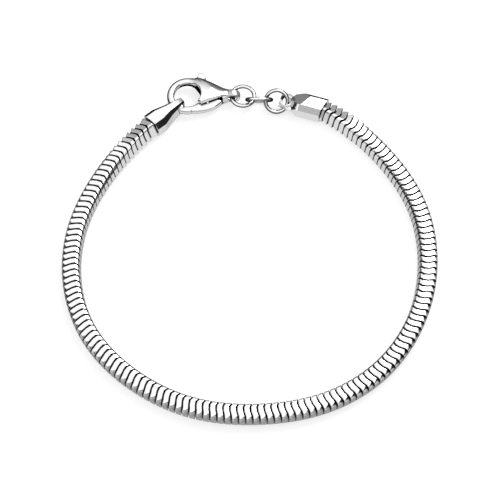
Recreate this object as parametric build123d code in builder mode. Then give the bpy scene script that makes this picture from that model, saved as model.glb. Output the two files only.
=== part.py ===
"""Silver bracelet: a square snake chain with a cap on each end, a lobster clasp and three jump rings.

Millimetres. It lies closed on the surface z = 0, the clasp at the far side (+Y), and the origin is
the middle of its bounding box, on the surface.
"""

import os
from math import atan2, cos, degrees, exp, hypot, radians, sin, sqrt

from build123d import *

os.makedirs("parts", exist_ok=True)

# Chain: each plate is a short length of a square with bulging sides, and its two ends run in a wave.
chain_width = 3.32
side_arc_offset = 0.80
plate_pitch = 1.125
plate_gap = 0.24
wave_depth = 0.45
wave_trough = -22.0
wave_spread = 38.0
crease_slant = 10.0
points_per_side = 4

# Inside the chain a square tongue on each plate reaches into the next one's socket.
tongue_width = 1.40
tongue_length = 0.60
tongue_clearance = 0.20

# Route of the chain's middle line over the surface, from the left cap round the near side to the right cap.
route = [
    (-17.25, 22.77),
    (-21.2, 18.47),
    (-25.6, 11.97),
    (-29.2, 3.27),
    (-29.9, -7.63),
    (-26.4, -18.03),
    (-18.9, -26.03),
    (-9.1, -30.93),
    (1.8, -32.03),
    (12.6, -29.93),
    (21.8, -24.03),
    (27.9, -14.83),
    (30.2, -4.13),
    (28.75, 6.77),
    (23.5, 16.47),
    (17.6, 22.82),
    (13.1, 25.92),
]

# Roll of the chain about its middle line, at shares of its length. Positive leans the top outward.
roll_table = [
    {"share": 0.00, "roll": 26.0},
    {"share": 0.05, "roll": 13.0},
    {"share": 0.12, "roll": 4.0},
    {"share": 0.55, "roll": 5.0},
    {"share": 0.70, "roll": 6.5},
    {"share": 0.80, "roll": 10.0},
    {"share": 0.87, "roll": 10.0},
    {"share": 0.93, "roll": 7.0},
    {"share": 0.955, "roll": 10.0},
    {"share": 1.00, "roll": 28.0},
]
lift_length = 9.0

# End caps: an eight-sided barrel that narrows to an eye.
cap_overhang = 0.26
cap_corner = 0.87
cap_gap = 0.05

# Left cap: it narrows in two steps, and its upright eye has the hook through it.
hooked_angle = 236.0
hook_clearance = 0.12
left_barrel = 1.9
left_waist_share = 0.55
left_waist_thickness = 2.50
left_waist_height = 3.66
left_waist_corner = 0.62
left_tip_reach = 1.10
left_tip_thickness = 1.20
left_tip_height = 3.00
left_tip_corner = 0.26

# Right cap: two slanted facets above and two below leave a level eye, with the last jump ring through it.
right_eye_place = (6.53, 27.95)
right_barrel = 4.3
right_tip_reach = 1.12
right_tip_width = 2.67
right_tip_height = 1.90
right_tip_corner = 0.30
eye_thickness = 0.50
eye_hole_length = 1.44
eye_hole_width = 1.90
ridge_reach = 4.1
ridge_aside = 1.14
ridge_end_reach = 6.35
ridge_end_aside = 0.44
far_facet_reach = 3.0
far_facet_aside = 0.70
near_facet_reach = 5.75

# Clasp: a ring-shaped hook, a tapered body and a small upright eye, lying flat.
clasp_centre = (-10.98, 29.16)
hook_inner = 2.35
hook_outer = 3.60
hook_thickness = 1.40
hook_start = 62.0
hook_end = 286.0
root_turn = 14.0
mouth_inner_angle = 275.5
mouth_outer_angle = 283.0
body_thickness = 3.20
body_reach = 7.6
neck_thickness = 1.80
neck_far = 0.95
neck_near = 0.60
clasp_eye_beyond = 0.40
clasp_eye_side = 0.10
clasp_eye_outer = 1.32
clasp_eye_hole = 0.78
clasp_eye_width = 1.30
notch_depth = 0.30
notch_turn = 4.0
mouth_margin = 0.40
slot_far_share = 0.72
slot_near_share = 0.83
pin_sink = 0.10

# Far edge of the clasp's body: shares of its reach and of the hook's outer radius.
body_edge = [
    {"along": 0.25, "aside": 0.95},
    {"along": 0.42, "aside": 0.81},
    {"along": 0.65, "aside": 0.56},
    {"along": 0.87, "aside": 0.33},
]

# Lever: it turns on an upright pin inside the body, its jaw closes the hook and its knob stands out.
pin_place = (3.50, -1.35)
pin_radius = 0.35
pin_clearance = 0.05
hub_radius = 0.80
lever_thickness = 1.30
lever_clearance = 0.12
jaw_gap = 0.10
jaw_end = 321.0
knob_place = (2.48, 3.80)
knob_radius = 0.78
arm_width = 0.90
jaw_round = 14.0

# Near edge of the lever: hub radii past the pin, and shares of the hook's outer radius.
lever_edge = [
    {"along": 0.0, "aside": 0.91},
    {"along": 2.0, "aside": 0.70},
    {"along": 3.0, "aside": 0.50},
]

# Jump rings: the first lies flat, the middle one stands and the last one slants.
ring_wire = 0.70
clasp_ring_outer = 4.74
clasp_ring_drop = 0.10
clasp_ring_pull = 0.20
middle_ring_outer = 4.97
middle_ring_lean = 28.0
middle_ring_share = 0.44
middle_ring_side = 0.10
cap_ring_outer = 4.60
cap_ring_tilt = 45.0
cap_ring_pull = 0.22

half_width = chain_width / 2
cap_width = chain_width + 2 * cap_overhang
cap_height = cap_width / 2
clasp_height = body_thickness / 2
clasp_eye_reach = body_reach + clasp_eye_beyond


def side_radius(turn):
    """Distance from the chain's middle to a side, turn degrees round from that side's middle."""
    arc = half_width + side_arc_offset
    across = side_arc_offset * sin(radians(turn))
    return sqrt(arc**2 - across**2) - side_arc_offset * cos(radians(turn))


def wave(angle):
    """How far forward a plate's end lies at an angle round the chain. It repeats each half turn."""
    off = (angle - wave_trough + 90) % 180 - 90
    return wave_depth * (1 - exp(-((off / wave_spread) ** 2)))


def plate_outline(slant, along, depth):
    """Points round a plate's end: slant turns the two creases beside the wave's crest."""
    creases = [45 + slant, 135, 225 + slant, 315]
    points = []
    for side in range(4):
        first = creases[side - 1] - (360 if side == 0 else 0)
        last = creases[side]
        for step in range(points_per_side):
            share = step / points_per_side
            angle = first + (last - first) * share
            reach = side_radius(90 * share - 45)
            forward = along + depth * wave(angle)
            points.append((reach * cos(radians(angle)), reach * sin(radians(angle)), forward))
    return points


def square_loop(width, along):
    """Corners of a square across the chain, in the same order as a plate's creases."""
    reach = width / sqrt(2)
    return [(reach * cos(radians(a)), reach * sin(radians(a)), along) for a in (-45, 45, 135, 225)]


def flat_face(*corners):
    """A flat face through its corners."""
    return Face(Wire.make_polygon([Vector(*corner) for corner in corners], close=True))


def skin(first, second):
    """Triangles between two outlines with as many points each."""
    faces = []
    for here in range(len(first)):
        after = (here + 1) % len(first)
        faces.append(flat_face(first[here], first[after], second[after]))
        faces.append(flat_face(first[here], second[after], second[here]))
    return faces


def end_ring(outline, square):
    """Triangles of a plate's end, between its outline and the square round its tongue or socket."""
    faces = []
    for side in range(4):
        for step in range(points_per_side):
            here = side * points_per_side + step
            after = (here + 1) % len(outline)
            corner = side if step < points_per_side / 2 else (side + 1) % 4
            faces.append(flat_face(outline[here], outline[after], square[corner]))
        middle = side * points_per_side + points_per_side // 2
        faces.append(flat_face(outline[middle], square[(side + 1) % 4], square[side]))
    return faces


def tube_walls(first, second):
    """Four flat walls between two squares."""
    return [flat_face(first[k], first[k - 1], second[k - 1], second[k]) for k in range(4)]


def plate(length, back_depth, front_depth):
    """One plate, its middle at the origin and its tongue pointing along +Z."""
    back = -length / 2
    front = length / 2
    socket_width = tongue_width + 2 * tongue_clearance
    outline_back = plate_outline(crease_slant, back, back_depth)
    outline_front = plate_outline(-crease_slant, front, front_depth)
    mouth = square_loop(socket_width, back + back_depth * wave_depth / 2)
    floor = square_loop(socket_width, back + back_depth * wave_depth / 2 + tongue_length)
    root = square_loop(tongue_width, front + front_depth * wave_depth / 2)
    tip = square_loop(tongue_width, front + front_depth * wave_depth / 2 + tongue_length)
    faces = skin(outline_back, outline_front)
    faces += end_ring(outline_back, mouth)
    faces += end_ring(outline_front, root)
    faces += tube_walls(mouth, floor)
    faces += tube_walls(root, tip)
    faces.append(flat_face(*floor))
    faces.append(flat_face(*tip))
    with BuildPart() as made:
        add(Solid(Shell(faces)))
    return made.part


def roll_at(share):
    """Roll of the chain at a share of its length, eased between the table's rows."""
    for low, high in zip(roll_table, roll_table[1:]):
        if share <= high["share"]:
            part = (share - low["share"]) / (high["share"] - low["share"])
            return low["roll"] + (high["roll"] - low["roll"]) * (1 - cos(radians(180 * part))) / 2
    return roll_table[-1]["roll"]


def resting_height(roll):
    """Height of the chain's middle when a plate with this roll lies on the surface."""
    reaches = []
    for slant in (crease_slant, -crease_slant):
        for x, y, _ in plate_outline(slant, 0, 0):
            reaches.append(y * sin(radians(roll)) - x * cos(radians(roll)))
    return max(reaches)


def chain_plane(path, share):
    """Plane across the chain: X to its rolled top, Y outward, Z along the route."""
    roll = roll_at(share)
    along = path.tangent_at(share)
    outward = along.cross(Vector(0, 0, 1))
    top = Vector(0, 0, 1) * cos(radians(roll)) + outward * sin(radians(roll))
    to_cap = min(share, 1 - share) * path.length
    lift = max(0, 1 - to_cap / lift_length) ** 2
    height = resting_height(roll) * (1 - lift) + cap_height * lift
    return Plane(origin=path.position_at(share) + Vector(0, 0, height), x_dir=top, z_dir=along)


def cap_blank(mouth, chain_end, barrel, narrowings):
    """A cap's solid from the chain's end to its tip.

    Each narrowing is a reach along the cap, a thickness along the mouth plane's X, a width and a corner cut.
    """
    with BuildPart() as cap:
        with BuildSketch(mouth.offset(-cap_width / 2)) as barrel_end:
            Rectangle(cap_width, cap_width)
            chamfer(barrel_end.vertices(), cap_corner)
        extrude(amount=barrel + cap_width / 2)
        with BuildSketch(mouth.offset(barrel)) as shoulder:
            Rectangle(cap_width, cap_width)
            chamfer(shoulder.vertices(), cap_corner)
        for reach, thickness, width, corner in narrowings:
            with BuildSketch(mouth.offset(reach)) as section:
                Rectangle(thickness, width)
                chamfer(section.vertices(), corner)
        loft(ruled=True)
        split(bisect_by=chain_end, keep=Keep.TOP)
    return cap.part


def jump_ring(plane, outer):
    """A closed round ring of wire."""
    with BuildPart() as ring:
        with BuildSketch(Plane(origin=plane.origin, x_dir=plane.x_dir, z_dir=plane.y_dir)):
            with Locations(((outer - ring_wire) / 2, 0)):
                Circle(ring_wire / 2)
        revolve(axis=Axis(plane.origin, plane.z_dir))
    return ring


def heading_vector(heading):
    """Level direction at an angle from +X."""
    return Vector(cos(radians(heading)), sin(radians(heading)), 0)


def on_circle(radius, angle):
    """Point of a circle about the hook's middle."""
    return (radius * cos(radians(angle)), radius * sin(radians(angle)))


# Chain
with BuildLine() as route_line:
    Spline(*route)
chain_path = route_line.edge()
plate_count = round(chain_path.length / plate_pitch)
spacing = chain_path.length / plate_count
plate_length = spacing - plate_gap
first_plate = plate(plate_length, 0, 1)
middle_plate = plate(plate_length, 1, 1)
last_plate = plate(plate_length, 1, 0)
plates = []
for number in range(plate_count):
    shape = middle_plate
    if number == 0:
        shape = first_plate
    if number == plate_count - 1:
        shape = last_plate
    plates.append(shape.moved(Location(chain_plane(chain_path, (number + 0.5) / plate_count))))
chain = Compound([solid for shape in plates for solid in shape.solids()])
chain.label = "chain"
export_step(chain, "parts/chain.step", write_pcurves=False)
print("plates", plate_count, "route", round(chain_path.length, 2), "spacing", round(spacing, 3))

# Clasp body
clasp_plane = Plane(origin=(*clasp_centre, clasp_height))
notch = on_circle(hook_outer - notch_depth, jaw_end - notch_turn)
with BuildPart() as clasp_body:
    with BuildSketch(clasp_plane):
        with BuildLine():
            root_outer = on_circle(hook_outer, hook_start + root_turn)
            root_inner = on_circle(hook_inner, hook_start + root_turn)
            edge_points = [(body_reach * row["along"], hook_outer * row["aside"]) for row in body_edge]
            Spline(root_outer, *edge_points, (body_reach, neck_far))
            Line((body_reach, neck_far), (body_reach, -neck_near))
            Line((body_reach, -neck_near), notch)
            inner_end = on_circle(hook_inner, jaw_end)
            Line(notch, inner_end)
            ThreePointArc(inner_end, (hook_inner, 0), root_inner)
            Line(root_inner, root_outer)
        make_face()
    extrude(amount=body_thickness / 2, both=True)
    side_plane = Plane(origin=clasp_plane.origin, x_dir=(1, 0, 0), z_dir=(0, -1, 0))
    with BuildSketch(side_plane):
        with BuildLine():
            Polyline(
                (0, -hook_thickness / 2),
                (0, hook_thickness / 2),
                (hook_inner, body_thickness / 2),
                (body_reach / 2, body_thickness / 2),
                (body_reach, neck_thickness / 2),
                (body_reach, -neck_thickness / 2),
                (body_reach / 2, -body_thickness / 2),
                (hook_inner, -body_thickness / 2),
                close=True,
            )
        make_face()
    extrude(amount=2 * hook_outer, both=True, mode=Mode.INTERSECT)
    # Room for the lever between the two cheeks
    slot_half = lever_thickness / 2 + lever_clearance
    slot_left = knob_place[0] - knob_radius - lever_clearance / 2
    with BuildSketch(clasp_plane.offset(-slot_half)):
        with BuildLine():
            Polyline(
                (slot_left, 2 * hook_outer),
                (body_reach * slot_far_share, 2 * hook_outer),
                (body_reach * slot_far_share, neck_far),
                (body_reach * slot_near_share, -neck_near / 2),
                (body_reach * slot_near_share, -2 * hook_outer),
                (0, -2 * hook_outer),
                (0, 0),
                (slot_left, 0),
                close=True,
            )
        make_face()
    extrude(amount=2 * slot_half, mode=Mode.SUBTRACT)
    # Pin between the cheeks
    with BuildSketch(clasp_plane.offset(-slot_half - pin_sink)):
        with Locations(pin_place):
            Circle(pin_radius)
    extrude(amount=2 * (slot_half + pin_sink))
    # Hook
    hook_plane = Plane(
        origin=clasp_plane.origin, x_dir=heading_vector(hook_start), z_dir=heading_vector(hook_start + 90)
    )
    with BuildSketch(hook_plane):
        with Locations(((hook_inner + hook_outer) / 2, 0)):
            Ellipse((hook_outer - hook_inner) / 2, hook_thickness / 2)
    revolve(axis=Axis(clasp_plane.origin, (0, 0, 1)), revolution_arc=hook_end - hook_start)
    # The hook's end is cut along the jaw's swing
    with BuildSketch(clasp_plane):
        inner_point = Vector(*on_circle(hook_inner, mouth_inner_angle))
        outer_point = Vector(*on_circle(hook_outer, mouth_outer_angle))
        reach = (outer_point - inner_point).normalized() * mouth_margin
        aside = Vector(hook_outer - hook_inner, 0)
        with BuildLine():
            Polyline(
                inner_point - reach,
                outer_point + reach,
                outer_point + reach + aside,
                inner_point - reach + aside,
                close=True,
            )
        make_face()
    extrude(amount=hook_thickness, both=True, mode=Mode.SUBTRACT)
    # Upright eye at the far end of the body
    eye_plane = Plane(
        origin=clasp_plane.origin + Vector(clasp_eye_reach, clasp_eye_side, 0), z_dir=(0, 1, 0)
    )
    with BuildSketch(eye_plane):
        Circle(clasp_eye_outer)
    extrude(amount=clasp_eye_width / 2, both=True)
    with BuildSketch(eye_plane):
        Circle(clasp_eye_hole)
    extrude(amount=clasp_eye_width, both=True, mode=Mode.SUBTRACT)
clasp_body.part.label = "clasp_body"
export_step(clasp_body.part, "parts/clasp_body.step")

# Clasp lever
pin_x, pin_y = pin_place
knob_x, knob_y = knob_place
jaw_tip_inner = on_circle(hook_inner, mouth_inner_angle + degrees(jaw_gap / hook_inner))
jaw_tip_outer = on_circle(hook_outer, mouth_outer_angle + degrees(jaw_gap / hook_outer))
with BuildPart() as clasp_lever:
    with BuildSketch(clasp_plane.offset(-lever_thickness / 2)):
        with BuildLine():
            jaw_belly = on_circle(hook_outer, mouth_outer_angle + jaw_round)
            jaw_throat = on_circle(hook_inner, jaw_end)
            jaw_middle = on_circle(hook_outer, mouth_outer_angle + jaw_round / 2)
            ThreePointArc(jaw_tip_outer, jaw_middle, jaw_belly)
            belly = [(pin_x + hub_radius * row["along"], -hook_outer * row["aside"]) for row in lever_edge]
            Spline(jaw_belly, *belly)
            Line(belly[-1], (pin_x + hub_radius, pin_y))
            Line((pin_x + hub_radius, pin_y), (pin_x, pin_y + hub_radius))
            Line((pin_x, pin_y + hub_radius), jaw_throat)
            ThreePointArc(
                jaw_throat, on_circle(hook_inner, (mouth_outer_angle + jaw_end) / 2), jaw_tip_inner
            )
            Line(jaw_tip_inner, jaw_tip_outer)
        make_face()
        with Locations(pin_place):
            Circle(hub_radius)
        arm_length = hypot(knob_x - pin_x, knob_y - pin_y)
        arm_heading = degrees(atan2(knob_y - pin_y, knob_x - pin_x))
        with Locations(Location(((pin_x + knob_x) / 2, (pin_y + knob_y) / 2), arm_heading)):
            Rectangle(arm_length, arm_width)
        with Locations(knob_place):
            Circle(knob_radius)
        with Locations(pin_place):
            Circle(pin_radius + pin_clearance, mode=Mode.SUBTRACT)
    extrude(amount=lever_thickness)
clasp_lever.part.label = "clasp_lever"
export_step(clasp_lever.part, "parts/clasp_lever.step")

# Left cap
left_mouth = chain_plane(chain_path, 0).origin
left_end = Plane(origin=left_mouth, z_dir=-chain_path.tangent_at(0)).offset(cap_gap)
hooked_at = on_circle((hook_inner + hook_outer) / 2, hooked_angle)
left_eye = Vector(clasp_plane.origin.X + hooked_at[0], clasp_plane.origin.Y + hooked_at[1], cap_height)
left_axis = (left_eye - left_mouth).normalized()
left_across = left_axis.cross(Vector(0, 0, 1)).normalized()
left_plane = Plane(origin=left_mouth, x_dir=left_across, z_dir=left_axis)
left_tip = (left_eye - left_plane.origin).length + left_tip_reach
with BuildPart() as end_cap_left:
    waist = (left_tip * left_waist_share, left_waist_thickness, left_waist_height, left_waist_corner)
    tip = (left_tip, left_tip_thickness, left_tip_height, left_tip_corner)
    add(cap_blank(left_plane, left_end, left_barrel, [waist, tip]))
    with BuildSketch(hook_plane):
        with Locations(((hook_inner + hook_outer) / 2, 0)):
            Ellipse((hook_outer - hook_inner) / 2 + hook_clearance, hook_thickness / 2 + hook_clearance)
    revolve(axis=Axis(clasp_plane.origin, (0, 0, 1)), mode=Mode.SUBTRACT)
    # Tongue in the first plate's socket
    with BuildSketch(chain_plane(chain_path, 0).offset(-left_barrel / 2)):
        Rectangle(tongue_width, tongue_width)
    extrude(amount=left_barrel / 2 + tongue_length - plate_gap / 2)
end_cap_left.part.label = "end_cap_left"
export_step(end_cap_left.part, "parts/end_cap_left.step")

# Right cap
right_mouth = chain_plane(chain_path, 1).origin
right_end = Plane(origin=right_mouth, z_dir=chain_path.tangent_at(1)).offset(cap_gap)
right_eye = Vector(*right_eye_place, cap_height)
right_axis = (right_eye - right_mouth).normalized()
right_across = right_axis.cross(Vector(0, 0, 1)).normalized()
right_up = right_across.cross(right_axis)
right_plane = Plane(origin=right_mouth, x_dir=right_up, z_dir=right_axis)
right_tip = (right_eye - right_plane.origin).length + right_tip_reach
with BuildPart() as end_cap_right:
    tip = (right_tip, right_tip_height, right_tip_width, right_tip_corner)
    add(cap_blank(right_plane, right_end, right_barrel, [tip]))
    # Slanted facets above and below the eye, given by three points each
    for side in (1, -1):
        ridge = right_plane.from_local_coords(Vector(side * cap_height, -ridge_aside, ridge_reach))
        ridge_end = right_plane.from_local_coords(
            Vector(side * eye_thickness / 2, ridge_end_aside, ridge_end_reach)
        )
        far_point = right_plane.from_local_coords(
            Vector(side * cap_height, far_facet_aside, far_facet_reach)
        )
        near_point = right_plane.from_local_coords(
            Vector(side * eye_thickness / 2, -ridge_aside, near_facet_reach)
        )
        for third in (far_point, near_point):
            normal = (ridge_end - ridge).cross(third - ridge).normalized()
            if normal.dot(right_up * side) > 0:
                normal = normal * -1
            split(bisect_by=Plane(origin=ridge, z_dir=normal), keep=Keep.TOP)
    # Level eye between the facets
    eye_level = Plane(origin=right_mouth, x_dir=right_axis, z_dir=right_up)
    with BuildSketch(eye_level):
        with BuildLine():
            Polyline(
                (right_barrel, cap_width / 2),
                (right_tip, right_tip_width / 2),
                (right_tip, -right_tip_width / 2),
                (right_barrel, -cap_width / 2),
                close=True,
            )
        make_face()
    extrude(amount=eye_thickness / 2, both=True)
    with BuildSketch(eye_level):
        with Locations((right_tip - right_tip_reach, 0)):
            Ellipse(eye_hole_length / 2, eye_hole_width / 2)
    extrude(amount=cap_width, both=True, mode=Mode.SUBTRACT)
    # Socket for the last plate's tongue
    with BuildSketch(chain_plane(chain_path, 1)):
        Rectangle(tongue_width + 2 * tongue_clearance, tongue_width + 2 * tongue_clearance)
    extrude(amount=tongue_length + cap_gap, mode=Mode.SUBTRACT)
end_cap_right.part.label = "end_cap_right"
export_step(end_cap_right.part, "parts/end_cap_right.step")

# Jump rings
clasp_ring_reach = (clasp_ring_outer - ring_wire) / 2
middle_ring_reach = (middle_ring_outer - ring_wire) / 2
cap_ring_reach = (cap_ring_outer - ring_wire) / 2
clasp_ring_middle = eye_plane.origin + Vector(clasp_ring_reach - clasp_ring_pull, 0, -clasp_ring_drop)
cap_ring_middle = right_eye + Vector(cap_ring_pull - cap_ring_reach, 0, 0)
clasp_ring_far = clasp_ring_middle.X + clasp_ring_reach
cap_ring_far = cap_ring_middle.X - cap_ring_reach
middle_ring_middle = Vector(
    clasp_ring_far + (cap_ring_far - clasp_ring_far) * middle_ring_share,
    cap_ring_middle.Y + middle_ring_side,
    middle_ring_reach * cos(radians(middle_ring_lean)) + ring_wire / 2,
)
middle_ring_normal = (0, cos(radians(middle_ring_lean)), sin(radians(middle_ring_lean)))
cap_ring_normal = (0, -sin(radians(cap_ring_tilt)), cos(radians(cap_ring_tilt)))
rings = {
    "jump_ring_clasp": (Plane(clasp_ring_middle, (1, 0, 0), (0, 0, 1)), clasp_ring_outer),
    "jump_ring_middle": (Plane(middle_ring_middle, (1, 0, 0), middle_ring_normal), middle_ring_outer),
    "jump_ring_cap": (Plane(cap_ring_middle, (1, 0, 0), cap_ring_normal), cap_ring_outer),
}
for name, (plane, outer) in rings.items():
    ring = jump_ring(plane, outer)
    ring.part.label = name
    export_step(ring.part, f"parts/{name}.step")
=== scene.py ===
import bmesh
import bpy
import numpy as np
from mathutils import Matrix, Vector


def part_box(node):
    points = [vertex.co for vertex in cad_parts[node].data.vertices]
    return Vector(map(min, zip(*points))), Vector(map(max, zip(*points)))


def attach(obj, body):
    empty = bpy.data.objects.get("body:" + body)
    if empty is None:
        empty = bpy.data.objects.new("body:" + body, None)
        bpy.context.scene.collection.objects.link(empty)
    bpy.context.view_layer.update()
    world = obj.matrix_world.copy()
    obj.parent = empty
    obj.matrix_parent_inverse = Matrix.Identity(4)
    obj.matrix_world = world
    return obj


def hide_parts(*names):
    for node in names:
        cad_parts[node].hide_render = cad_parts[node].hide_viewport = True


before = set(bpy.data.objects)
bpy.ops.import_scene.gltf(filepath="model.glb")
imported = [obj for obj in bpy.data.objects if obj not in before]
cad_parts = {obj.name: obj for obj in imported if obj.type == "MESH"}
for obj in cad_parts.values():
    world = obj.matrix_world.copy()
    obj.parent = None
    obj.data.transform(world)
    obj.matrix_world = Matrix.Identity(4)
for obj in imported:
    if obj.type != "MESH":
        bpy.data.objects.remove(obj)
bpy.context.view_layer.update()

MM = 0.001

# Camera: the bracelet is seen from the near side, 62 degrees above the surface, with a long lens. Its
# aim is a point just above the surface in the middle of the loop.
camera_aim = Vector((0.10, -1.70, 1.66)) * MM
camera_elevation = np.radians(62.0)
camera_distance = 350.0 * MM
camera_lens = 148.2
camera_sensor = 36.0

camera_data = bpy.data.cameras.new("camera")
camera_data.lens = camera_lens
camera_data.sensor_width = camera_sensor
camera_data.clip_start = 0.01
camera = bpy.data.objects.new("camera", camera_data)
bpy.context.collection.objects.link(camera)
camera_back = Vector((0.0, -np.cos(camera_elevation), np.sin(camera_elevation)))
camera.location = camera_aim + camera_back * camera_distance
camera.rotation_mode = "QUATERNION"
camera.rotation_quaternion = (-camera_back).to_track_quat("-Z", "Y")
bpy.context.scene.camera = camera


# Surface: a wide sheet of matt white board, without a mark on it. The metal doesn't mirror it, so that
# the sides of the chain keep the dark of the room beside the lamps.
class Wire:
    """An output of a node. Sums, differences and products with it add Math nodes and give a new Wire."""

    def __init__(self, tree, socket):
        self.tree = tree
        self.socket = socket

    def __add__(self, other):
        return maths(self.tree, "ADD", self, other)

    def __radd__(self, other):
        return maths(self.tree, "ADD", other, self)

    def __sub__(self, other):
        return maths(self.tree, "SUBTRACT", self, other)

    def __rsub__(self, other):
        return maths(self.tree, "SUBTRACT", other, self)

    def __mul__(self, other):
        return maths(self.tree, "MULTIPLY", self, other)

    def __rmul__(self, other):
        return maths(self.tree, "MULTIPLY", other, self)


def put(tree, socket, value):
    """Sets a socket to a plain value, or links a Wire to it."""
    if isinstance(value, Wire):
        tree.links.new(value.socket, socket)
    else:
        socket.default_value = value


def add_node(tree, kind, settings=None, sockets=None, output=0):
    """Adds a node: its settings first, then the values or Wires of its sockets. Gives one output."""
    node = tree.nodes.new(kind)
    for name, value in (settings or {}).items():
        setattr(node, name, value)
    for name, value in (sockets or {}).items():
        put(tree, node.inputs[name], value)
    return Wire(tree, node.outputs[output])


def maths(tree, operation, first, second=0.0):
    """A Math node on two values or Wires."""
    return add_node(tree, "ShaderNodeMath", {"operation": operation}, {0: first, 1: second})


def ease(wire, low, high):
    """0 below low, 1 above high, and a smooth step between them."""
    settings = {"interpolation_type": "SMOOTHSTEP"}
    sockets = {"Value": wire, "From Min": low, "From Max": high}
    return add_node(wire.tree, "ShaderNodeMapRange", settings, sockets)


def mix_colour(tree, share, first, second):
    """Colour between two, given as grey values or as colours."""
    colours = [(c, c, c, 1.0) if isinstance(c, float) else c for c in (first, second)]
    sockets = {0: share, 6: colours[0], 7: colours[1]}
    return add_node(tree, "ShaderNodeMix", {"data_type": "RGBA"}, sockets, output=2)


def new_finish(name, **shader_values):
    """A material, its node tree and its shader, with the shader's constant values set by socket name."""
    material = bpy.data.materials.new(name)
    material.use_nodes = True
    tree = material.node_tree
    shader = tree.nodes["Principled BSDF"]
    for socket, value in shader_values.items():
        shader.inputs[socket.replace("_", " ")].default_value = value
    return material, tree, shader


def new_piece(name, vertices, faces, material):
    """A mesh object at the origin, from arrays of vertices in metres and faces, shaded smooth."""
    mesh = bpy.data.meshes.new(name)
    mesh.from_pydata(np.reshape(vertices, (-1, 3)).tolist(), [], faces)
    mesh.polygons.foreach_set("use_smooth", np.ones(len(mesh.polygons), bool))
    mesh.materials.append(material)
    mesh.update()
    piece = bpy.data.objects.new(name, mesh)
    bpy.context.collection.objects.link(piece)
    return piece


board_half = 1.5
board_level = -0.00002
board_glow = 0.62
board_tones = (0.47, 0.49)
board_grain_scale = 900.0
board_paint, board_tree, board_shader = new_finish("matt_white_board", Roughness=1.0, IOR=1.02)
board_place = add_node(board_tree, "ShaderNodeTexCoord", output=3)
board_grain = add_node(
    board_tree,
    "ShaderNodeTexNoise",
    sockets={"Vector": board_place, "Scale": board_grain_scale, "Detail": 2.0},
)
put(board_tree, board_shader.inputs["Base Color"], mix_colour(board_tree, board_grain, *board_tones))
board_shader.inputs["Emission Color"].default_value = (1.0, 1.0, 1.0, 1.0)
board_shader.inputs["Emission Strength"].default_value = board_glow
board_signs = np.array([(-1, -1), (1, -1), (1, 1), (-1, 1)])
board_corners = np.column_stack([board_signs * board_half, np.full(4, board_level)])
board = new_piece("board", board_corners, [(0, 1, 2, 3)], board_paint)
board.visible_glossy = False

# Light: a white tent with grey walls before and behind, and a dark gap all round it at the height of the
# table, which itself is light. A black flag stands on the right and a small window on the left. A large
# soft lamp behind on the right gives the shadow.
tent_white = 1.09
tent_dark = 0.02
table_near = 0.78
table_far = 0.42
front_grey = 0.46
back_grey = 0.42
flag_black = 0.015
window_way = (-0.88, 0.47, -0.01)
window_radius = 6.5
right_flag_way = (0.86, -0.36, 0.37)
right_flag_radius = 20.0
flag_softness = 1.5
lamp_place = (0.22, 0.30, 0.45)
lamp_width = 0.35
lamp_depth = 0.25
lamp_watts = 1.6

# Where the parts of the tent start and end, in the unit direction: x to the right, y to the back, z up
tent_foot = (0.10, 0.24)
table_end = (0.34, 0.54)
table_lift = 0.34
table_lift_band = (0.05, 0.30)
table_fade = (-0.40, 0.80)
front_side = (0.62, 0.80)
front_top = (0.52, 0.66)
front_foot = (-0.50, -0.30)
back_side = (0.73, 0.80)
back_top = (0.50, 0.62)
back_foot = (-0.10, 0.18)
back_opening = (0.12, 0.24)
back_opening_foot = (0.34, 0.42)

world = bpy.data.worlds.new("tent")
bpy.context.scene.world = world
world.use_nodes = True
sky = world.node_tree
sky_way = add_node(sky, "ShaderNodeTexCoord", output=0)
sky_parts = add_node(sky, "ShaderNodeSeparateXYZ", sockets={0: sky_way}).socket.node
sky_x, sky_y, sky_z = (Wire(sky, socket) for socket in sky_parts.outputs)


def over(below, tone, mask):
    """One tone laid over another where the mask is 1."""
    return below + (tone - below) * mask


def flag(way, radius):
    """Mask of a round patch of the sky, about a direction and with a radius in degrees."""
    sockets = {0: sky_way, 1: Vector(way).normalized()}
    nearness = add_node(sky, "ShaderNodeVectorMath", {"operation": "DOT_PRODUCT"}, sockets, output=1)
    edges = np.cos(np.radians([radius + flag_softness, radius - flag_softness]))
    return ease(nearness, *edges.tolist())


off_middle = ease(maths(sky, "ABSOLUTE", sky_x), *back_opening)
low_back = 1.0 - ease(sky_z, *back_opening_foot)
back_wall = ease(sky_y, *back_side) * (1.0 - ease(sky_z, *back_top))
back_wall = back_wall * maths(sky, "MAXIMUM", off_middle, low_back)
front_wall = ease(0.0 - sky_y, *front_side) * (1.0 - ease(sky_z, *front_top)) * ease(sky_z, *front_foot)
table_light = over(table_near, table_far, ease(sky_y, *table_fade))
table_depth = table_lift * ease(0.0 - sky_y, *table_lift_band) - sky_z
sky_light = over(tent_dark, tent_white, ease(sky_z, *tent_foot))
sky_light = over(sky_light, table_light, ease(table_depth, *table_end))
sky_light = over(sky_light, front_grey, front_wall)
sky_light = over(sky_light, over(tent_dark, back_grey, ease(sky_z, *back_foot)), back_wall)
sky_light = over(sky_light, flag_black, flag(right_flag_way, right_flag_radius))
sky_light = over(sky_light, tent_white, flag(window_way, window_radius))
background = sky.nodes["Background"]
put(sky, background.inputs["Color"], sky_light)

lamp_data = bpy.data.lights.new("soft_lamp", "AREA")
lamp_data.shape = "RECTANGLE"
lamp_data.size = lamp_width
lamp_data.size_y = lamp_depth
lamp_data.energy = lamp_watts
lamp = bpy.data.objects.new("soft_lamp", lamp_data)
lamp.location = lamp_place
lamp.rotation_mode = "QUATERNION"
lamp.rotation_quaternion = (-lamp.location).to_track_quat("-Z", "Y")
bpy.context.collection.objects.link(lamp)
bpy.context.scene.view_settings.view_transform = "Standard"

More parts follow.
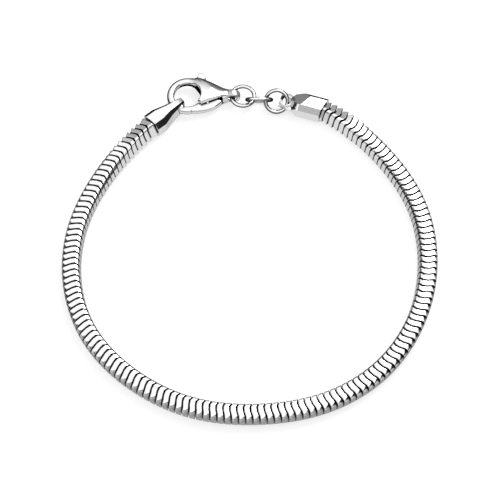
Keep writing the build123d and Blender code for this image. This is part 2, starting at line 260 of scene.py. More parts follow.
# Chain: square snake chain of sterling silver, rhodium plated. Wavy plates are bent to a square with
# bevelled creases and nested in one another, so that only their outer walls show, with a dark seam
# between each two. Lengths are in millimetres and angles in degrees round the chain, from its top.
route_mm = np.array(
    [
        (-17.25, 22.77),
        (-21.2, 18.47),
        (-25.6, 11.97),
        (-29.2, 3.27),
        (-29.9, -7.63),
        (-26.4, -18.03),
        (-18.9, -26.03),
        (-9.1, -30.93),
        (1.8, -32.03),
        (12.6, -29.93),
        (21.8, -24.03),
        (27.9, -14.83),
        (30.2, -4.13),
        (28.75, 6.77),
        (23.5, 16.47),
        (17.6, 22.82),
        (13.1, 25.92),
    ]
)
roll_table = np.array(
    [
        (0.00, 26.0),
        (0.05, 13.0),
        (0.12, 4.0),
        (0.55, 5.0),
        (0.70, 6.5),
        (0.80, 10.0),
        (0.87, 10.0),
        (0.93, 7.0),
        (0.955, 10.0),
        (1.00, 28.0),
    ]
)
flat_half = 1.57
bevel_turn = 22.4
bevel_half = 1.757
crease_half = 1.868
square_cut = 0.15
cap_height = 1.92
lift_length = 9.0
plate_count = 141
seam_width = 0.23
seam_bumps = [(0.12, 324, 20), (0.03, 33, 16), (-0.15, 88, 34), (-0.06, 265, 25)]
wave_depth = 0.48
wave_trough = -20.0
wave_spreads = (25.0, 40.0)
crease_lead = 3.0
crease_slant = 19.0
slant_reach = 20.0
wedge_turn = 46.0
crease_side = 44.0
out_of_reach = 9.0
cap_plates = (3.5, 8.5)
# Painted shade: a grey band on the outer side of the chain, and dark lines on part of its creases
outer_shade = 0.62
outer_shade_start = (44.0, 66.0)
outer_shade_end = (124.0, 133.0)
crease_shade = 0.93
fold_half = 2.0
fold_shoulder = 3.3
fold_back_end = 0.66
fold_front_start = 0.70


def end_slope(points, places):
    """Slope at the first of four points, of the cubic through all four."""
    return np.stack([np.polynomial.polynomial.polyfit(places - places[0], c, 3)[1] for c in points.T])


def smooth_route(points, count):
    """A cubic spline through the points, on the lengths of their chords. Its end slopes are those of the
    cubic through the first and the last four points. Gives evenly spaced points and directions, their
    places along the curve and its length."""
    place = np.concatenate([[0.0], np.cumsum(np.hypot(*np.diff(points, axis=0).T))])
    step = np.diff(place)
    slope = np.diff(points, axis=0) / step[:, None]
    last = len(place) - 1
    system = np.zeros((last + 1, last + 1))
    target = np.zeros((last + 1, 2))
    inner = np.arange(1, last)
    system[inner, inner - 1] = step[:-1]
    system[inner, inner] = 2 * (step[:-1] + step[1:])
    system[inner, inner + 1] = step[1:]
    target[inner] = 6 * (slope[1:] - slope[:-1])
    system[0, :2] = 2 * step[0], step[0]
    target[0] = 6 * (slope[0] - end_slope(points[:4], place[:4]))
    system[last, last - 1 :] = step[-1], 2 * step[-1]
    target[last] = 6 * (end_slope(points[::-1][:4], place[::-1][:4]) - slope[-1])
    bend = np.linalg.solve(system, target)
    dense = np.linspace(0.0, place[-1], 20001)
    span = np.clip(np.searchsorted(place, dense) - 1, 0, last - 1)
    along = (dense - place[span])[:, None]
    width = step[span][:, None]
    first = slope[span] - width * (2 * bend[span] + bend[span + 1]) / 6
    curve = points[span] + along * (
        first + along * (bend[span] / 2 + along * (bend[span + 1] - bend[span]) / (6 * width))
    )
    run = np.concatenate([[0.0], np.cumsum(np.hypot(*np.diff(curve, axis=0).T))])
    wanted = (np.arange(count) + 0.5) / count * run[-1]
    place_xy = np.stack([np.interp(wanted, run, c) for c in curve.T], axis=1)
    way_xy = np.stack([np.interp(wanted, run, np.gradient(c, run)) for c in curve.T], axis=1)
    return place_xy, way_xy / np.hypot(*way_xy.T)[:, None], wanted, run[-1]


def roll_at(share):
    """Roll at shares of the chain's length: half a cosine between each two rows of the table."""
    shares, rolls = roll_table.T
    row = np.clip(np.searchsorted(shares, share) - 1, 0, len(shares) - 2)
    part = (share - shares[row]) / (shares[row + 1] - shares[row])
    return rolls[row] + (rolls[row + 1] - rolls[row]) * (1 - np.cos(np.pi * part)) / 2


def side_reach(angle, square=0.0):
    """Distance from the chain's middle to its wall at an angle round it: the least of the distances to
    the lines of a side's flat, of the bevel beside it and of the narrow chamfer on two of the creases.
    Where square is 1 the flat lies further in and meets the chamfer, without a bevel."""
    turn = np.abs((angle + 45) % 90 - 45)
    flat = (flat_half - square_cut * square) / np.cos(np.radians(turn))
    bevel = (bevel_half + square_cut * square) / np.cos(np.radians(turn - bevel_turn))
    crease = crease_half / np.cos(np.radians(turn - 45))
    crease = np.where(np.abs(off_from(angle, -45)) < crease_side, crease, out_of_reach)
    return np.minimum(np.minimum(flat, bevel), crease)


def off_from(angle, place):
    """Angle from the nearer of two opposite places round the chain."""
    return (angle - place + 90) % 180 - 90


def wave(angle):
    """How far forward a plate's end lies: one smooth trough in each half turn, steeper on one side."""
    off = off_from(angle, wave_trough)
    return wave_depth * (1 - np.exp(-((off / np.where(off < 0, *wave_spreads)) ** 2)))


def slanted(angle, forward):
    """Angles round a plate at shares forward along it (rows): two opposite creases slant back towards
    the top and the bottom, and what lies near them goes with them."""
    slant = crease_slant * forward - crease_lead
    return angle - slant[:, None] * np.clip(1 - np.abs(off_from(angle, 45)) / slant_reach, 0, 1)


def smooth_step(value, low, high):
    """0 below low, 1 above high, and the smooth cubic step between them."""
    part = np.clip((value - low) / (high - low), 0, 1)
    return part * part * (3 - 2 * part)


def bump(angle, place, spread):
    """1 at a place round the chain, falling to 0 on both sides of it as a bell."""
    return np.exp(-((((angle - place + 180) % 360 - 180) / spread) ** 2))


def frames_along(place_xy, way_xy, share, length):
    """Middle, top, outward and forward directions of the rolled chain at shares of its length, in mm.
    The middle's height is the lowest at which the rolled section clears the surface, and near the caps
    it rises to their height with the square of the nearness."""
    roll = np.radians(roll_at(share))[:, None]
    up = np.array([0.0, 0.0, 1.0])
    way = np.column_stack([way_xy, np.zeros(len(way_xy))])
    outward = np.cross(way, up)
    top = up * np.cos(roll) + outward * np.sin(roll)
    side = np.cross(way, top)
    ring = np.arange(0.0, 360.0, 4.5)
    around = np.radians(ring)
    reach = side_reach(ring)
    drop = reach * np.sin(around) * np.sin(roll) - reach * np.cos(around) * np.cos(roll)
    to_cap = np.minimum(share, 1 - share) * length
    lift = np.maximum(0, 1 - to_cap / lift_length) ** 2
    height = drop.max(axis=1) * (1 - lift) + cap_height * lift
    return np.column_stack([place_xy, height]), top, side, way


place_xy, way_xy, plate_run, chain_length = smooth_route(route_mm, plate_count)
plate_share = plate_run / chain_length
chain_frames = frames_along(place_xy, way_xy, plate_share, chain_length)
plate_middle, plate_top, plate_side, plate_way = chain_frames
spacing = chain_length / plate_count

side_shares = np.array([0.0, 0.037, 0.062, 0.185, 0.225, 0.5, 0.775, 0.815, 0.938, 0.963])
ring_angle = (90 * (np.arange(4)[:, None] + side_shares) - 45).reshape(-1)
row_forward = np.array([0.00, 0.00, 0.05, 0.14, 0.44, 0.64, 0.72, 0.88, 0.95, 1.00, 1.00])
row_inset = np.array([0.62, 0.045, 0.00, 0.00, 0.00, 0.00, 0.00, 0.00, 0.00, 0.045, 0.62])
from_cap = np.minimum(np.arange(plate_count), np.arange(plate_count)[::-1])
near_cap = 1 - smooth_step(from_cap, *cap_plates)
around = slanted(ring_angle, row_forward)
crease_angle = 45 + crease_lead - crease_slant * row_forward
wedge = side_reach(crease_angle, near_cap[:, None]) * np.cos(np.radians(wedge_turn - crease_angle))
wedge_reach = wedge[..., None] / np.maximum(np.cos(np.radians(off_from(around, wedge_turn))), 0.1)
wedge_reach = np.where(np.abs(off_from(ring_angle, 45)) < crease_side, wedge_reach, out_of_reach)
reach = np.minimum(side_reach(around, near_cap[:, None, None]), wedge_reach) - row_inset[:, None]
plate_x = reach * np.cos(np.radians(around))
plate_y = reach * np.sin(np.radians(around))
inwardness = (row_inset / flat_half)[:, None]
plate_wave = wave(around) * (1 - inwardness) + wave_depth / 2 * inwardness
seam_wider = [wider * bump(ring_angle, place, spread) for wider, place, spread in seam_bumps]
plate_length = spacing - seam_width - sum(seam_wider)
depth_back = np.ones(plate_count)
depth_back[0] = 0
depth_front = np.ones(plate_count)
depth_front[-1] = 0
depth = depth_back[:, None] * (1 - row_forward) + depth_front[:, None] * row_forward
plate_z = (row_forward - 0.5)[:, None] * plate_length + depth[:, :, None] * plate_wave
plate_points = (
    plate_middle[:, None, None]
    + plate_x[..., None] * plate_top[:, None, None]
    + plate_y[..., None] * plate_side[:, None, None]
    + plate_z[..., None] * plate_way[:, None, None]
)
pole_run = np.array([-0.5, 0.5]) * (spacing - seam_width) + wave_depth / 2
end_poles = plate_middle[:, None] + pole_run[None, :, None] * plate_way[:, None]
chain_points = np.concatenate([plate_points.reshape(plate_count, -1, 3), end_poles], axis=1)


def ring_faces(rows, columns, closed=False):
    """Quads of a grid whose last column meets its first, and with closed its last row its first too."""
    row, column = np.meshgrid(np.arange(rows if closed else rows - 1), np.arange(columns), indexing="ij")
    after_row = (row + 1) % rows
    after = (column + 1) % columns
    corners = [row * columns + column, row * columns + after, after_row * columns + after]
    corners.append(after_row * columns + column)
    return np.stack(corners, axis=-1).reshape(-1, 4)


def skin_faces(rows, columns):
    """Faces of a closed skin: a ringed grid, then a fan to a pole at either end. The poles are the last
    two points."""
    rim = np.arange(columns)
    after = (rim + 1) % columns
    last = (rows - 1) * columns
    pole = np.full(columns, rows * columns)
    first_fan = np.stack([after, rim, pole], axis=-1)
    last_fan = np.stack([last + rim, last + after, pole + 1], axis=-1)
    return ring_faces(rows, columns), np.concatenate([first_fan, last_fan])


rows_in_plate, columns = around.shape
per_plate = rows_in_plate * columns + 2
plate_quads, plate_fans = skin_faces(rows_in_plate, columns)
starts = (np.arange(plate_count) * per_plate)[:, None, None]
chain_faces = (plate_quads + starts).reshape(-1, 4).tolist()
chain_faces += (plate_fans + starts).reshape(-1, 3).tolist()

# Painted shade on the plates: black in the seams between them, a grey band on the outer side, and a dark
# line on part of the creases, where the bent sheet has a fold.
row_seam = np.array([1.0, 1.0, 0.25, 0.0, 0.0, 0.0, 0.0, 0.0, 0.25, 1.0, 1.0])
shade_band = outer_shade * smooth_step(ring_angle, *outer_shade_start) * (1 - smooth_step(ring_angle, *outer_shade_end))
straight_fold_shade = crease_shade * (np.abs(off_from(ring_angle, -45)) < fold_half)
slanted_fold_shade = crease_shade * (np.abs(off_from(ring_angle, 45)) < fold_half)
straight_fold_shade += crease_shade / 2 * (np.abs(np.abs(off_from(ring_angle, -45)) - fold_shoulder) < 0.5)
fold_shade = straight_fold_shade * (row_forward < fold_back_end)[:, None]
fold_shade = fold_shade + slanted_fold_shade * (row_forward > fold_front_start)[:, None]
painted_shade = np.maximum(np.maximum(row_seam[:, None], shade_band), fold_shade * (1 - near_cap)[:, None, None])
painted_shade = np.concatenate([painted_shade.reshape(plate_count, -1), np.ones((plate_count, 2))], axis=1)

# The silver's tone, and the near black that painted shade turns it to
silver_tone = 0.93
painted_shade_tone = 0.012
chain_scuff_scale = 2600.0


def add_painted_shade(piece, values):
    """Writes a value for each point into the attribute of painted shade that the silver's materials
    read.
    """
    attribute = piece.data.attributes.new("painted_shade", "FLOAT", "POINT")
    attribute.data.foreach_set("value", values.reshape(-1).astype(np.float32))


chain_silver, chain_tree, chain_shader = new_finish("polished_silver_plates", Metallic=1.0)
chain_place = add_node(chain_tree, "ShaderNodeTexCoord", output=3)
shade_share = add_node(chain_tree, "ShaderNodeAttribute", {"attribute_name": "painted_shade"}, output=2)
chain_scuffs = add_node(
    chain_tree,
    "ShaderNodeTexNoise",
    sockets={"Vector": chain_place, "Scale": chain_scuff_scale, "Detail": 4.0},
)
# Painted shade darkens the silver towards near black
chain_tone = mix_colour(chain_tree, shade_share, silver_tone, painted_shade_tone)
put(chain_tree, chain_shader.inputs["Base Color"], chain_tone)
put(chain_tree, chain_shader.inputs["Roughness"], 0.06 + 0.08 * chain_scuffs + 0.25 * shade_share)

chain_plates = new_piece("chain_plates", chain_points * MM, chain_faces, chain_silver)
add_painted_shade(chain_plates, painted_shade)
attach(chain_plates, "bracelet")
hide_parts("chain")

# Core of the chain: the plates' inner tongues, which nest in one another and close the seams from
# inside. They are painted nearly black, as painted shade for the dark inside the chain.
core_half = 0.99
core_shade_tones = (0.008, 0.02)
core_cloud_scale = 900.0
core_corners = np.radians([45.0, 135.0, 225.0, 315.0])
core_points = (
    plate_middle[:, None]
    + core_half * np.cos(core_corners)[None, :, None] * plate_top[:, None]
    + core_half * np.sin(core_corners)[None, :, None] * plate_side[:, None]
)
core_faces = ring_faces(plate_count, 4).tolist()
core_faces += [(3, 2, 1, 0), tuple(4 * (plate_count - 1) + k for k in range(4))]
core_silver, core_tree, core_shader = new_finish("painted_shade_core", Metallic=0.6)
core_place = add_node(core_tree, "ShaderNodeTexCoord", output=3)
core_sockets = {"Vector": core_place, "Scale": core_cloud_scale}
core_cloud = add_node(core_tree, "ShaderNodeTexNoise", sockets=core_sockets)
put(core_tree, core_shader.inputs["Base Color"], mix_colour(core_tree, core_cloud, *core_shade_tones))
put(core_tree, core_shader.inputs["Roughness"], 0.4 + 0.3 * core_cloud)
chain_core = new_piece("chain_core", core_points * MM, core_faces, core_silver)
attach(chain_core, "bracelet")


# End caps: cast silver cups with eight-sided walls, soldered over the chain's last plates. The left
# one's upright eye hangs in the clasp's hook, the right one ends in a flat eye for the last jump ring.
worn_share = 0.94
relief_strength = 0.05
relief_depth = 0.02 * MM


def level_distance(tree, place, point):
    """Distance in plan from a point."""
    sockets = {0: place, 1: (1.0, 1.0, 0.0)}
    level = add_node(tree, "ShaderNodeVectorMath", {"operation": "MULTIPLY"}, sockets)
    sockets = {0: level, 1: (*point, 0.0)}
    return add_node(tree, "ShaderNodeVectorMath", {"operation": "DISTANCE"}, sockets, output=1)


def eye_painted_shade(tree, place):
    """Painted shade in and round the caps' eyes, where the hook and the ring pass through them: round
    the left tip, and in the hole and round the end of the right one."""
    from_tip = level_distance(tree, place, left_tip)
    from_hole = level_distance(tree, place, right_eye)
    at_tip = tip_shade * (1.0 - ease(from_tip, *tip_fade))
    in_hole = 1.0 - ease(from_hole, *hole_edge)
    at_end = eye_rim_shade * ease(from_hole, *rim_start) * (1.0 - ease(from_hole, *rim_end))
    return at_tip + in_hole + at_end


def polished_finish(name, lightness, scuff_scale, rim=1.0, extra_shade=None):
    """Polished silver with soft wear: roughness and a slight bump follow two sizes of noise. Painted
    shade from its attribute and from extra_shade darkens it. Rim is the grazing tone; below 1 it is
    painted shade."""
    material, tree, shader = new_finish(name, Metallic=1.0, Specular_Tint=(rim, rim, rim, 1.0))
    place = add_node(tree, "ShaderNodeTexCoord", output=3)
    sockets = {"Vector": place, "Scale": scuff_scale, "Detail": 5.0}
    wear = add_node(tree, "ShaderNodeTexNoise", sockets=sockets)
    cloud = add_node(tree, "ShaderNodeTexNoise", sockets={"Vector": place, "Scale": scuff_scale / 6})
    dark = add_node(tree, "ShaderNodeAttribute", {"attribute_name": "painted_shade"}, output=2)
    if extra_shade is not None:
        dark = dark + extra_shade(tree, place)
    clean = mix_colour(tree, cloud, lightness, lightness * worn_share)
    put(tree, shader.inputs["Base Color"], mix_colour(tree, dark, clean, painted_shade_tone))
    put(tree, shader.inputs["Roughness"], 0.04 + 0.06 * wear + 0.04 * cloud)
    sockets = {"Strength": relief_strength, "Distance": relief_depth, "Height": wear}
    put(tree, shader.inputs["Normal"], add_node(tree, "ShaderNodeBump", sockets=sockets))
    return material


cap_edge_width = 0.06
cap_edge_angle = 20.0
cap_weld = 0.001
# Painted shade round the left cap's tip, and in and round the right cap's eye
tip_shade = 0.75
tip_fade = (0.3 * MM, 1.5 * MM)
eye_rim_shade = 0.55
hole_edge = (0.82 * MM, 0.92 * MM)
rim_start = (1.02 * MM, 1.12 * MM)
rim_end = (1.5 * MM, 1.6 * MM)
left_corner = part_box("end_cap_left")[1]
left_tip = (left_corner[0] - 0.15 * MM, left_corner[1] - 0.45 * MM)
right_eye = (6.53 * MM, 27.95 * MM)
cap_silver = polished_finish("polished_silver_caps", 0.92, 1800.0, extra_shade=eye_painted_shade)
for cap_name in ("end_cap_left", "end_cap_right"):
    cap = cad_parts[cap_name]
    cap.data.materials.clear()
    cap.data.materials.append(cap_silver)
    weld = cap.modifiers.new("weld", "WELD")
    weld.merge_threshold = cap_weld * MM
    bevel = cap.modifiers.new("bevel", "BEVEL")
    bevel.width = cap_edge_width * MM
    bevel.segments = 3
    bevel.limit_method = "ANGLE"
    bevel.angle_limit = np.radians(cap_edge_angle)
    bevel.harden_normals = True

# Clasp: a cast lobster clasp, barrel polished. Its round hook, its body of two domed cheeks with room
# for the lever between them, the lever's pin and the small upright eye are one piece. Lengths are in
# millimetres from the hook's middle.
clasp_centre = np.array([-10.98, 29.16, 1.60])
hook_inner = 2.35
hook_outer = 3.60
hook_half = 0.70
hook_power = 2.6
hook_start = 62.0
mouth_inner_angle = 275.5
mouth_outer_angle = 283.0
cheek_start = 82.0
cheek_end = -39.0
body_half = 1.60
body_reach = 7.6
neck_far = 0.95
neck_near = 0.60
slot_half = 0.77
# Painted shade on the clasp and the rings grows where their surface turns away from this near upper way
unshaded_way = np.array([0.0, -0.47, 0.88])
side_shade_tone = 0.86
edge_shade = 0.84
edge_shade_width = 2.30
near_round = 0.60
neck_round = 0.22
far_round = 2.10
notch = (2.41, -2.25)
slot_notch = (2.55, -2.12)
slot_far_end = (7.40, -0.05)
slot_start = (1.2, 1.65)
cheek_overlap = 0.03
cheek_first_angle = 84.0
cheek_blend = (0.0, 3.0)
hook_step = 0.03
body_rise = (0.3, 3.1)
body_fall = (3.7, 8.6)
neck_drop = 0.78
far_edge = np.array(
    [
        (0.30, 3.60),
        (1.90, 3.42),
        (3.19, 2.92),
        (4.94, 2.02),
        (6.60, 1.19),
        (body_reach, neck_far),
    ]
)
eye_centre = (8.00, 0.10)
eye_outer = 1.32
eye_hole = 0.78
eye_half_width = 0.65
pin_place = np.array([3.50, -1.35])
pin_radius = 0.35
pin_round = 0.03
web_sink = 0.08
pin_sink = 0.10
web_power = 8.0
eye_power = 4.0
edge_points = 900
bar_end_shares = np.array([0.82, 0.95])
bar_end_steps = np.array([0.07, 0.045])


def polar(radius, angle):
    """Points of circles about the hook's middle, by radius and angle in degrees."""
    return np.stack([radius * np.cos(np.radians(angle)), radius * np.sin(np.radians(angle))], axis=-1)


def squircle(columns, power):
    """A round of columns: across and up, with rounder corners the lower the power. 2 gives a circle."""
    angle = np.linspace(0, 2 * np.pi, columns, endpoint=False)
    across = np.sign(np.cos(angle)) * np.abs(np.cos(angle)) ** (2 / power)
    up = np.sign(np.sin(angle)) * np.abs(np.sin(angle)) ** (2 / power)
    return across, up


def bar(first_line, second_line, half, power, columns=36):
    """Closed skin of a bar between two level lines: at each row its section is a squircle, as wide as
    the lines are apart and as high as given. Two smaller rows round off either end."""
    across, up = squircle(columns, power)
    middle = (first_line + second_line) / 2
    reach = (second_line - first_line) / 2
    level = middle[:, None] + reach[:, None] * across[None, :, None]
    height = np.broadcast_to(half * up, (len(middle), columns))
    body = np.concatenate([level, height[..., None]], axis=-1)
    centre = body.mean(axis=1, keepdims=True)
    way = np.gradient(centre, axis=0)
    way = way / np.linalg.norm(way, axis=2, keepdims=True)
    smaller = bar_end_shares[:, None, None]
    further = bar_end_steps[:, None, None]
    first_end = centre[:1] + (body[:1] - centre[:1]) * smaller - way[:1] * further
    last_end = centre[-1:] + (body[-1:] - centre[-1:]) * smaller + way[-1:] * further
    return np.concatenate([first_end, body, last_end[::-1]])


def skin(grid):
    """Points and faces of a closed skin from a grid of ringed rows, with a pole at either end."""
    rows, columns = grid.shape[:2]
    poles = np.stack([grid[0].mean(axis=0), grid[-1].mean(axis=0)])
    quads, fans = skin_faces(rows, columns)
    return np.concatenate([grid.reshape(-1, 3), poles]), quads.tolist() + fans.tolist()


def hoop(middle, reach, radial_half, axial_half, power, axis, rows=64, columns=24):
    """Closed ring about an axis: a squircle section carried round a circle of the given reach."""
    axis = np.array(axis) / np.linalg.norm(axis)
    first = np.cross(axis, (0.0, 0.0, 1.0) if abs(axis[2]) < 0.9 else (1.0, 0.0, 0.0))
    first = first / np.linalg.norm(first)
    second = np.cross(axis, first)
    angle = np.linspace(0, 2 * np.pi, rows, endpoint=False)[:, None, None]
    across, up = squircle(columns, power)
    out = first * np.cos(angle) + second * np.sin(angle)
    grid = np.array(middle) + out * (reach + radial_half * across)[None, :, None]
    grid = grid + axis * (axial_half * up)[None, :, None]
    return grid.reshape(-1, 3), ring_faces(rows, columns, closed=True).tolist()


def disc(middle, radius, half, round_off, columns=40):
    """Closed upright disc: circles that grow from a pole, turn down over a rounded edge and close."""
    turn = np.radians(np.array([90.0, 60.0, 30.0, 0.0]))
    rim = radius - round_off + round_off * np.cos(turn)
    rise = half - round_off + round_off * np.sin(turn)
    reach = np.concatenate([[0.5 * radius], rim, rim[::-1], [0.5 * radius]])
    height = np.concatenate([[half], rise, -rise[::-1], [-half]])
    angle = np.linspace(0, 2 * np.pi, columns, endpoint=False)
    grid = np.stack(
        [
            middle[0] + reach[:, None] * np.cos(angle),
            middle[1] + reach[:, None] * np.sin(angle),
            np.broadcast_to(height[:, None], (len(reach), columns)),
        ],
        axis=-1,
    )
    return skin(grid)


def cast_piece(name, shells, material, painted_shade=None):
    """One mesh from closed shells given about the clasp's middle, with every face turned outward. Its
    tarnish is a function of the points and of their normals."""
    points, faces, start = [], [], 0
    for shell_points, shell_faces in shells:
        points.append(shell_points)
        faces += [tuple(corner + start for corner in face) for face in shell_faces]
        start += len(shell_points)
    points = np.concatenate(points)
    piece = new_piece(name, (points + clasp_centre) * MM, faces, material)
    work = bmesh.new()
    work.from_mesh(piece.data)
    bmesh.ops.recalc_face_normals(work, faces=work.faces)
    work.to_mesh(piece.data)
    work.free()
    if painted_shade is not None:
        normals = np.empty(points.size, np.float32)
        piece.data.vertices.foreach_get("normal", normals)
        add_painted_shade(piece, painted_shade(points, normals.reshape(-1, 3)))
    return piece


def body_height(x):
    """Half height of the clasp's body along it: it rises from the hook's and falls to the neck's."""
    start = hook_half + hook_step
    rise = (body_half - start) * smooth_step(x, *body_rise)
    return start + rise - neck_drop * smooth_step(x, *body_fall)


def run_line(points, count):
    """Evenly spaced points along a run of straight lines."""
    run = np.concatenate([[0.0], np.cumsum(np.linalg.norm(np.diff(points, axis=0), axis=1))])
    wanted = np.linspace(0, run[-1], count)
    return np.stack([np.interp(wanted, run, c) for c in points.T], axis=1)


# The hook
hook_rows = np.linspace(0, 1, 72)[:, None]
hook_line = [
    polar(radius, hook_start + (end - hook_start) * hook_rows[:, 0])
    for radius, end in ((hook_inner, mouth_inner_angle), (hook_outer, mouth_outer_angle))
]
hook_shell = skin(bar(hook_line[0], hook_line[1], hook_half, hook_power))

# The cheeks: rays from the hook's inner edge to the body's outline
far_curve = smooth_route(far_edge, 36)[0]
ray_share = (1 - np.cos(np.linspace(0, np.pi, 25))) / 2


def far_from(plan, edge, width):
    """1 on an edge, falling evenly to 0 where the plan's points are a width away from it."""
    gap = np.linalg.norm(plan[:, :, None] - run_line(edge, edge_points)[None, None], axis=-1).min(axis=2)
    return 1 - np.clip(gap / width, 0, 1)


def cheek(near_edge):
    """Closed skin of a cheek over the clasp's middle level: its plan is spanned by rays, and its height
    over the slot is the body's height times a quarter ellipse of the distance to the nearest edge."""
    outline = np.concatenate([polar(np.full(1, hook_outer), cheek_first_angle), far_curve, near_edge])
    inner = polar(np.full(len(outline), hook_inner), np.linspace(cheek_start, cheek_end, len(outline)))
    plan = inner[:, None] + (outline - inner)[:, None] * ray_share[None, :, None]
    x = plan[..., 0]
    blend = smooth_step(x, *cheek_blend)
    power = hook_power - (hook_power - 2.0) * blend
    far_width = near_round + (far_round - near_round) * blend
    far_part = far_from(plan, outline[: len(far_curve) + 1], far_width)
    near_edges = np.concatenate([outline[len(far_curve) + 1 :], inner[::-1]])
    near_width = near_round + (neck_round - near_round) * blend
    near_part = far_from(plan, near_edges, near_width)
    near_part[:, 0] = 1
    rise = (1 - far_part**power) ** (1 / power) * (1 - near_part**hook_power) ** (1 / hook_power)
    rise[:, -1] = 0
    base = slot_half * smooth_step(x, *slot_start) - cheek_overlap
    top = base + (body_height(x) - base) * rise
    over_slot = np.concatenate([plan, top[..., None]], axis=-1)
    under = np.concatenate([plan, base[..., None]], axis=-1)[:, -2:0:-1]
    return np.concatenate([over_slot, under], axis=1)


neck_end = run_line(np.array([(body_reach, neck_far), (body_reach, -neck_near)]), 10)[1:]
lower_near = run_line(np.array([(body_reach, -neck_near), notch]), 40)
upper_near = run_line(np.array([(body_reach, -neck_near), slot_far_end, slot_notch]), 40)
cheek_shell = skin(cheek(np.concatenate([neck_end, upper_near[1:]])))
lower_cheek_shell = skin(cheek(np.concatenate([neck_end, lower_near[1:]])) * (1, 1, -1))

# The web that joins the cheeks beyond the lever, the pin and the eye
web_far = run_line(np.array([(5.47, 1.66), (7.15, 0.90)]), 8)
web_near = run_line(np.array([(6.31, -0.95), (7.15, -0.66)]), 8)
web_shell = skin(bar(web_far, web_near, slot_half + web_sink, web_power))
pin_shell = disc(pin_place, pin_radius, slot_half + pin_sink, pin_round)
eye_middle = (eye_centre[0], eye_centre[1], 0.0)
eye_reach = (eye_outer + eye_hole) / 2
eye_wall = (eye_outer - eye_hole) / 2
eye_shell = hoop(eye_middle, eye_reach, eye_wall, eye_half_width, eye_power, (0, 1, 0))

inner_wall_band = (hook_inner + 0.12, hook_inner + 0.30)
inner_far_start = (5.0, 40.0)
inner_far_end = (115.0, 150.0)
inner_rise = 0.45
inner_fade = 0.25
outside_end = 0.9
outside_shade_fade = (0.72, 0.93)
outside_near = (-0.75, -0.35)
slot_middle = 4.0
slot_reach = 2.4
edge_shade_along = (0.2, 1.6)
# Rim 0 darkens the clasp's grazing reflections: painted shade along its outlines
clasp_silver = polished_finish("polished_silver_clasp", 0.93, 1500.0, rim=0.0)


def painted_side_shade(normals, low, high):
    """Painted shade: most on what faces away from the near upper side, and 0 there."""
    return side_shade_tone * (1 - smooth_step(normals @ unshaded_way, low, high))


def clasp_painted_shade(points, normals):
    """Painted shade: round the hook's outside, on the lower part of its inner wall and most of all at
    its far side, inside the slot, and as a soft band along the body's far edge."""
    x, y, z = points.T
    radius = np.hypot(x, y)
    angle = np.degrees(np.arctan2(y, x))
    inner_wall = 1 - smooth_step(radius, *inner_wall_band)
    far_part = smooth_step(angle, *inner_far_start) * (1 - smooth_step(angle, *inner_far_end))
    dark_top = inner_rise * far_part
    inside = inner_wall * (1 - smooth_step(z, dark_top - inner_fade, dark_top))
    outside = (x < outside_end) * (radius > (hook_inner + hook_outer) / 2)
    outside = outside * painted_side_shade(normals, *outside_shade_fade) * smooth_step(normals[:, 1], *outside_near)
    in_slot = (np.abs(x - slot_middle) < slot_reach) * (np.abs(z) < slot_half + 0.01)
    in_slot = in_slot * (z * normals[:, 2] < 0)
    edge_part = far_from(points[None, :, :2], far_curve, edge_shade_width)[0]
    shade_band = edge_shade * edge_part * (z > 0) * smooth_step(x, *edge_shade_along)
    return np.max([inside, outside, shade_band, in_slot], axis=0)


clasp_body = cast_piece(
    "clasp_casting",
    [hook_shell, cheek_shell, lower_cheek_shell, web_shell, pin_shell, eye_shell],
    clasp_silver,
    clasp_painted_shade,
)
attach(clasp_body, "bracelet")
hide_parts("clasp_body")

# Lever: the part of the clasp that the thumb pulls back, cast with its curved jaw, its hub on the pin
# and its round knob in one piece.
lever_half = 0.65
jaw_start_inner = 277.9
jaw_start_outer = 284.6
jaw_turn_end = 321.0
hub_outer = 0.80
hub_hole = 0.40
knob_place = np.array([2.48, 3.80])
knob_radius = 0.78
knob_round = 0.22
arm_start = 0.62
arm_width = 0.90
hub_play = 0.02
arm_play = 0.03
jaw_power = 2.8
hub_power = 8.0
arm_power = 4.0
jaw_near_way = [(2.3, -1.95), (3.2, -1.45), (5.1, -0.75)]
jaw_far_way = [(1.9, -3.46), (4.6, -3.36), (6.12, -1.50)]


def bezier(corners, count):
    """Points of the cubic curve that a row of four corners pulls."""
    t = np.linspace(0, 1, count)[:, None]
    a, b, c, d = np.array(corners)
    return a * (1 - t) ** 3 + 3 * b * t * (1 - t) ** 2 + 3 * c * t**2 * (1 - t) + d * t**3


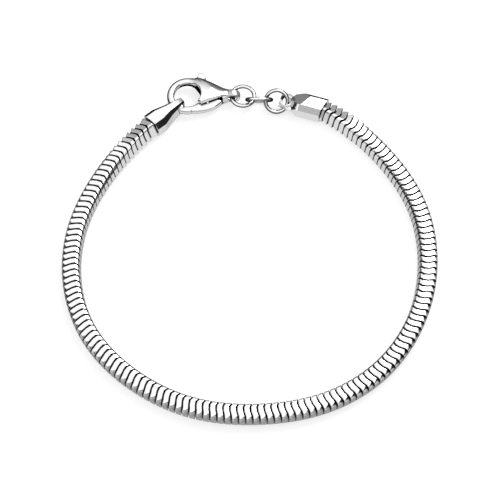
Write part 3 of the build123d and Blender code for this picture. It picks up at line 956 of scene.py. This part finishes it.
jaw_rows = 40
arc_rows = 24
jaw_arc = polar(np.full(arc_rows, hook_inner), np.linspace(jaw_start_inner, jaw_turn_end, arc_rows))
jaw_near = bezier([jaw_arc[-1], *jaw_near_way], jaw_rows - arc_rows + 1)
jaw_inner = np.concatenate([jaw_arc, jaw_near[1:]])
jaw_outer = bezier([polar(hook_outer, jaw_start_outer), *jaw_far_way], jaw_rows)
jaw_shell = skin(bar(jaw_inner, jaw_outer, lever_half, jaw_power))
hub_reach = (hub_outer + hub_hole) / 2
hub_wall = (hub_outer - hub_hole) / 2
hub_half = lever_half - hub_play
hub_middle = (*pin_place, 0.0)
hub_shell = hoop(hub_middle, hub_reach, hub_wall, hub_half, hub_power, (0, 0, 1), rows=40, columns=16)
arm_way = (knob_place - pin_place) / np.linalg.norm(knob_place - pin_place)
arm_across = np.array([-arm_way[1], arm_way[0]]) * arm_width / 2
arm_line = run_line(np.array([pin_place + arm_way * arm_start, knob_place]), 12)
arm_shell = skin(bar(arm_line - arm_across, arm_line + arm_across, lever_half - arm_play, arm_power))
knob_shell = disc(knob_place, knob_radius, lever_half, knob_round)
# Rim 0.2 darkens the lever's grazing reflections: painted shade along its outlines
lever_silver = polished_finish("polished_silver_lever", 0.93, 1700.0, rim=0.2)
lever = cast_piece("lever_casting", [jaw_shell, hub_shell, arm_shell, knob_shell], lever_silver)
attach(lever, "lever")
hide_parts("clasp_lever")

# Jump rings: round silver wire bent to rings and soldered shut. The first lies flat in the clasp's eye,
# the middle one stands and leans away, and the last one slants through the right cap's eye. Each has its
# middle, its width, the turn of its lean and where its painted shade fades out. The wire gets painted
# shade on the sides that face away from the near upper side.
ring_wire = 0.70
rings = {
    "jump_ring_clasp": ((-1.16, 29.26, 1.50), 4.74, 0.0, (0.72, 0.92)),
    "jump_ring_middle": ((1.7356, 28.05, 2.2351), 4.97, -62.0, (0.60, 0.84)),
    "jump_ring_cap": ((4.80, 27.95, 1.92), 4.60, 45.0, (0.80, 0.96)),
}
# Rim 0 darkens the wire's grazing reflections: painted shade along its outlines
ring_silver = polished_finish("polished_silver_wire", 0.92, 2200.0, rim=0.0)

for ring_name, (ring_middle, ring_outer, ring_tip, ring_shade_fade) in rings.items():
    ring_axis = (0.0, -np.sin(np.radians(ring_tip)), np.cos(np.radians(ring_tip)))
    ring_points, ring_quads = hoop(
        np.array(ring_middle) - clasp_centre,
        (ring_outer - ring_wire) / 2,
        ring_wire / 2,
        ring_wire / 2,
        2.0,
        ring_axis,
        rows=96,
    )
    wire_ring = cast_piece(
        ring_name + "_wire",
        [(ring_points, ring_quads)],
        ring_silver,
        lambda points, normals: painted_side_shade(normals, *ring_shade_fade),
    )
    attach(wire_ring, "bracelet")
    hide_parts(ring_name)
